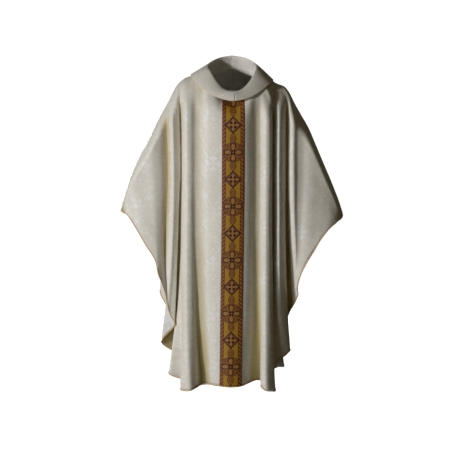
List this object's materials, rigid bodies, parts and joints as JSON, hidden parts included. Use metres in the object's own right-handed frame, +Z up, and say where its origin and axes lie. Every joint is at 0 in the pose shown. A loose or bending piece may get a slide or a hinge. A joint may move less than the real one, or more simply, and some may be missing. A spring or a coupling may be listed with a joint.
{
  "type": "chasuble",
  "caption": "Wide sleeveless vestment hanging in folds from the shoulders and held-out arms, with a broad turned-down collar, a front band and corded hem.",
  "frame": {"origin": "base of the neck, midway between the shoulders", "axes": "+X to the wearer's left, -Y to the front, +Z up"},
  "size_m": [0.8666, 0.3361, 1.2852],
  "materials": {
    "front_panel": "ivory damask, soft satin sheen",
    "back_panel": "ivory damask, soft satin sheen",
    "orphrey_front": "woven galloon, mustard gold with dark red-brown figures",
    "hem_piping_front": "twisted gold-coloured cord",
    "hem_piping_back": "twisted gold-coloured cord",
    "collar_left": "ivory damask, soft satin sheen",
    "collar_right": "ivory damask, soft satin sheen",
    "collar_piping_left": "thin pale gold-coloured cord",
    "collar_piping_right": "thin pale gold-coloured cord"
  },
  "bodies": {
    "root": {"front_panel": "front_panel", "back_panel": "back_panel", "orphrey_front": "orphrey_front", "hem_piping_front": "hem_piping_front", "hem_piping_back": "hem_piping_back", "collar_left": "collar_left", "collar_right": "collar_right", "collar_piping_left": "collar_piping_left", "collar_piping_right": "collar_piping_right"}
  },
  "joints": []
}
